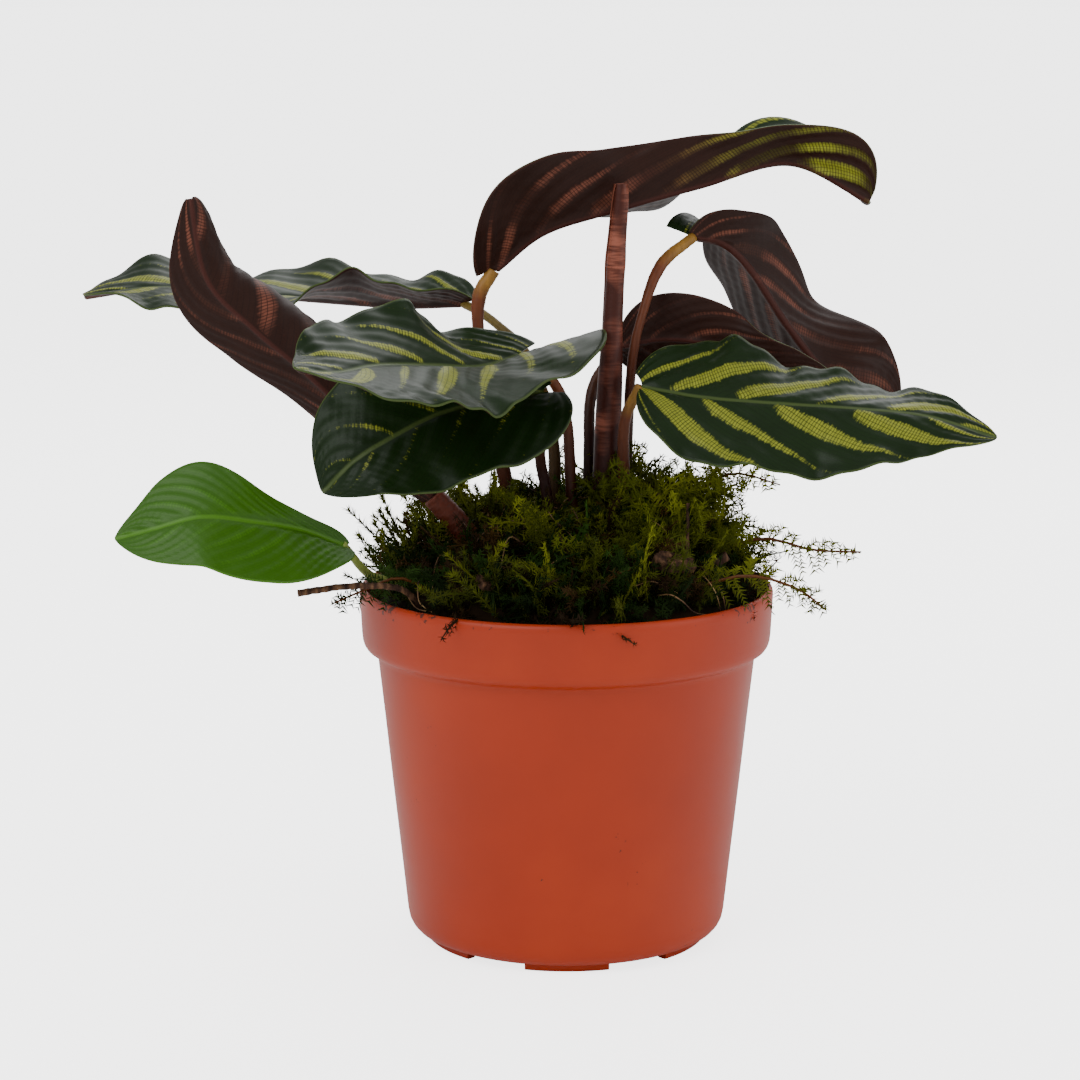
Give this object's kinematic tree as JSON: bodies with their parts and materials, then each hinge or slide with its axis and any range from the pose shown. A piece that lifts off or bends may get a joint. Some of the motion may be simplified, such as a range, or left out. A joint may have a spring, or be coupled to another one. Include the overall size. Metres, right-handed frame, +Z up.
{
  "type": "potted peacock plant",
  "caption": "Peacock plant with broad banded leaves on thin stalks, rising from moss and peat in a round plastic nursery pot with a stepped collar.",
  "frame": {"origin": "bottom centre of the whole plant's box, level with the underside of the pot's feet", "axes": "+Z up the pot's axis, +X along the widest spread of the leaves, -Y towards the viewed front"},
  "size_m": [0.2404, 0.1558, 0.2168],
  "materials": {
    "pot_plastic": "satin",
    "peat": "matte",
    "moss": "matte",
    "bark": "matte",
    "leaf": "satin",
    "young_leaf": "satin",
    "stalk": "satin",
    "young_stalk": "satin"
  },
  "bodies": {
    "root": {"pot": "pot_plastic", "soil": "peat", "moss_cushion": "moss", "moss_sprig_right_long": "moss", "moss_sprig_right_low": "moss", "moss_sprig_right_up": "moss", "moss_sprig_left_low": "moss", "moss_sprig_left_up": "moss", "moss_sprig_back": "moss", "bark_chip_a": "bark", "bark_chip_b": "bark", "bark_chip_c": "bark", "blade_top": "leaf", "blade_right_droop": "leaf", "blade_right_front": "leaf", "blade_front_left": "leaf", "blade_front_low": "leaf", "blade_left_roll": "leaf", "blade_far_left": "leaf", "blade_young_green": "young_leaf", "blade_back_mid": "leaf", "spear_new_leaf": "stalk", "stalk_top": "stalk", "stalk_right_droop": "stalk", "stalk_right_front": "stalk", "stalk_back_mid": "stalk", "stalk_front_low": "stalk", "stalk_front_left": "stalk", "stalk_far_left": "stalk", "stalk_left_roll": "stalk", "stalk_young_green": "young_stalk", "stub_brown": "bark", "stub_thin": "bark", "twig_left": "bark"}
  },
  "joints": []
}
